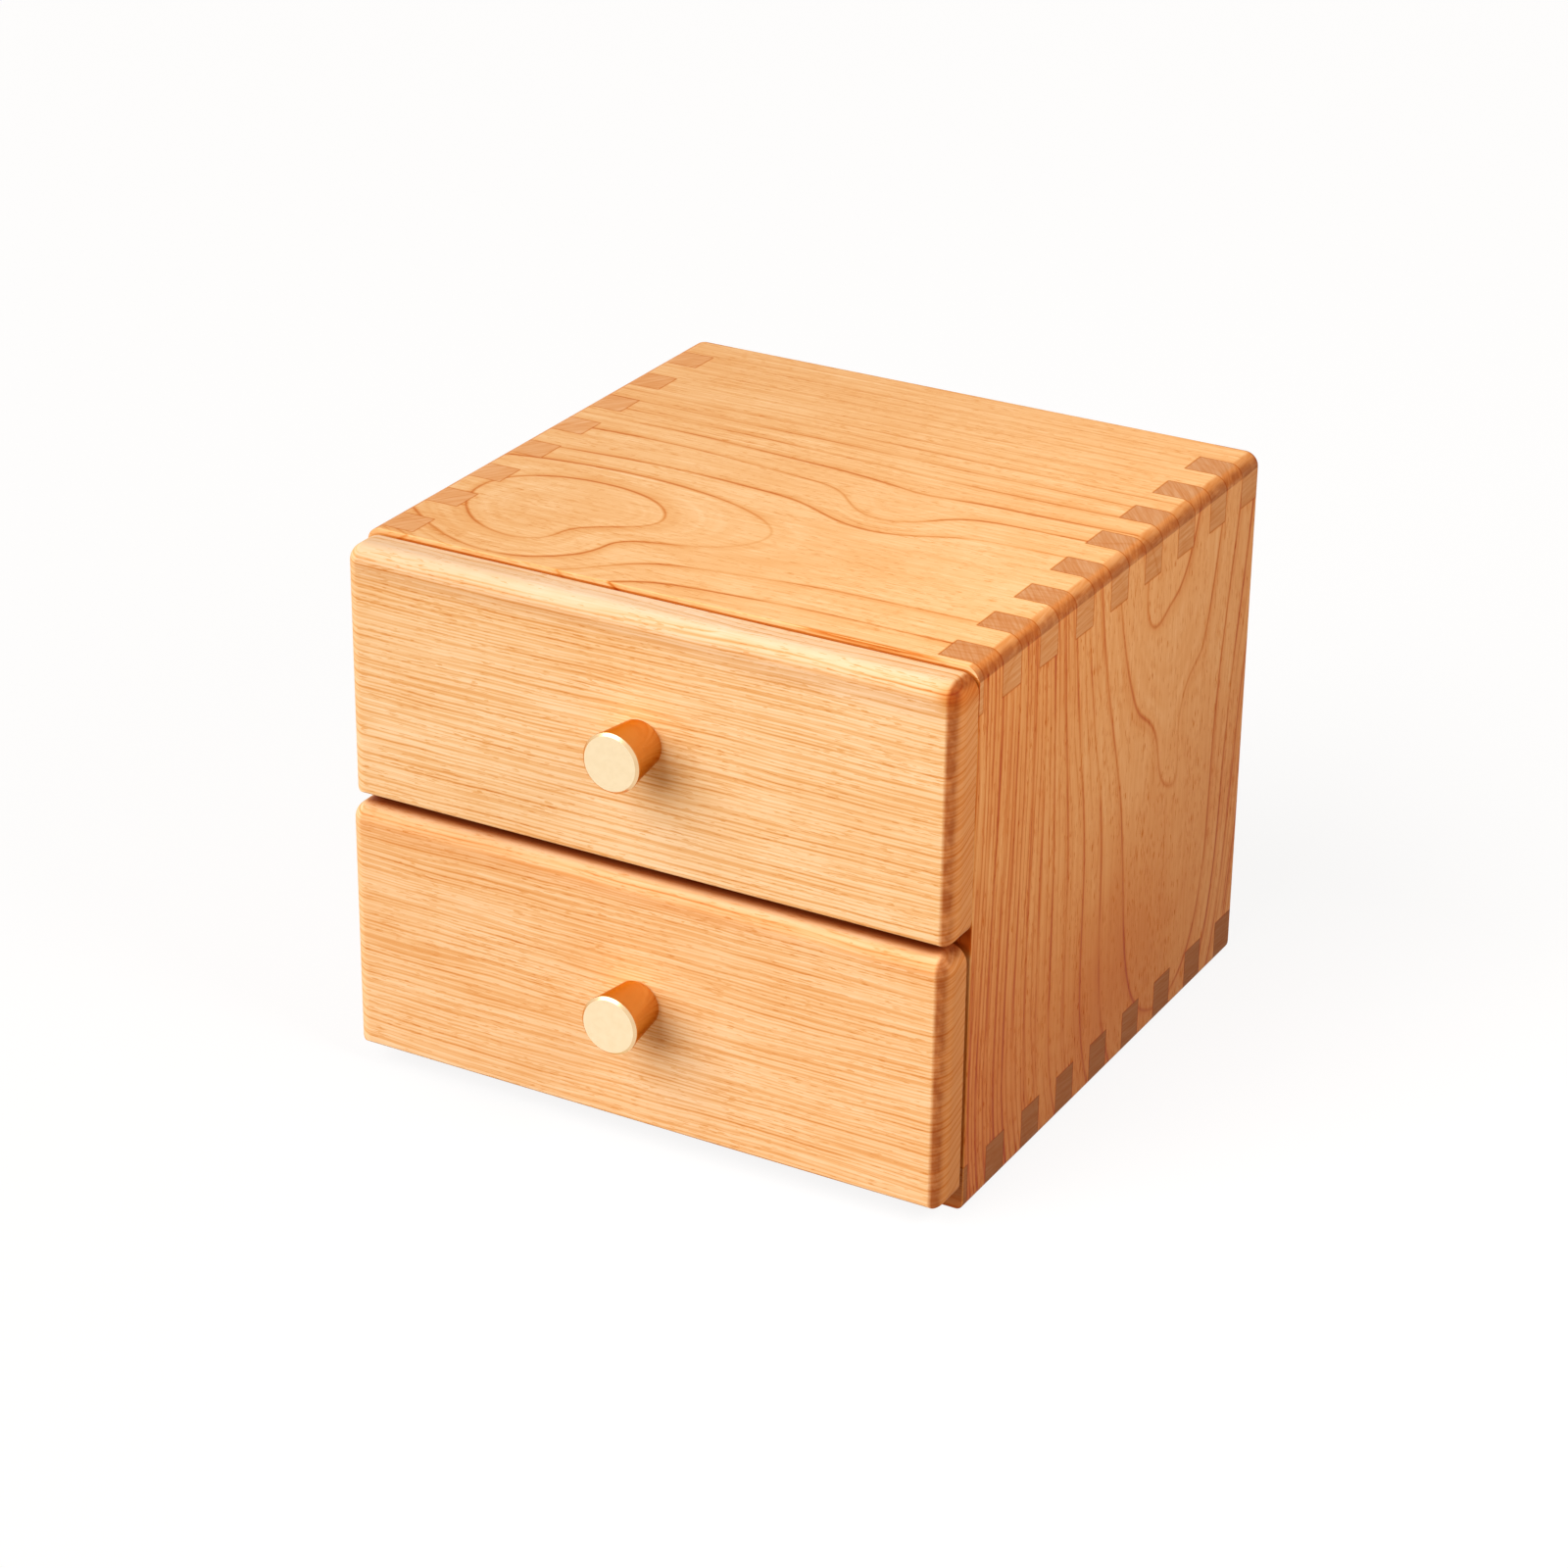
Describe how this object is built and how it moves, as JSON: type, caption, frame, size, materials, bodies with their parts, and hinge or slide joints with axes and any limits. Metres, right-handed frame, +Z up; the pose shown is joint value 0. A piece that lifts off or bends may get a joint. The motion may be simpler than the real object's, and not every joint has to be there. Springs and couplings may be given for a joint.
{
  "type": "wooden drawer organizer",
  "caption": "Small free-standing wooden box with finger-jointed corners and stacked full-width overlay drawers, each pulled out by a tapered round metal knob.",
  "frame": {"origin": "centre of the flat underside of the bottom board", "axes": "+Z up, drawer fronts face -Y and the drawers pull out along -Y, X across the width"},
  "size_m": [0.2, 0.22, 0.1702],
  "materials": {
    "carcass_wood": "clear satin lacquer",
    "front_wood": "clear satin lacquer",
    "box_wood": "oiled",
    "panel_wood": "oiled",
    "knob_brass": "polished",
    "screw_steel": "plain zinc"
  },
  "bodies": {
    "carcass": {"top_board": "carcass_wood", "bottom_board": "carcass_wood", "left_side": "carcass_wood", "right_side": "carcass_wood", "shelf": "carcass_wood", "back_panel": "panel_wood", "back_panel_screws": "screw_steel"},
    "upper_drawer": {"upper_drawer_front": "front_wood", "upper_drawer_box_front": "box_wood", "upper_drawer_box_left": "box_wood", "upper_drawer_box_right": "box_wood", "upper_drawer_box_back": "box_wood", "upper_drawer_bottom": "panel_wood", "upper_drawer_knob": "knob_brass", "upper_drawer_knob_screw": "screw_steel", "upper_drawer_front_screws": "screw_steel"},
    "lower_drawer": {"lower_drawer_front": "front_wood", "lower_drawer_box_front": "box_wood", "lower_drawer_box_left": "box_wood", "lower_drawer_box_right": "box_wood", "lower_drawer_box_back": "box_wood", "lower_drawer_bottom": "panel_wood", "lower_drawer_knob": "knob_brass", "lower_drawer_knob_screw": "screw_steel", "lower_drawer_front_screws": "screw_steel"}
  },
  "joints": [
    {"name": "upper_drawer_slide", "type": "slide", "parent": "carcass", "child": "upper_drawer", "axis": [0, -1, 0], "range_m": [0, 0.14]},
    {"name": "lower_drawer_slide", "type": "slide", "parent": "carcass", "child": "lower_drawer", "axis": [0, -1, 0], "range_m": [-0.002, 0.138]}
  ]
}
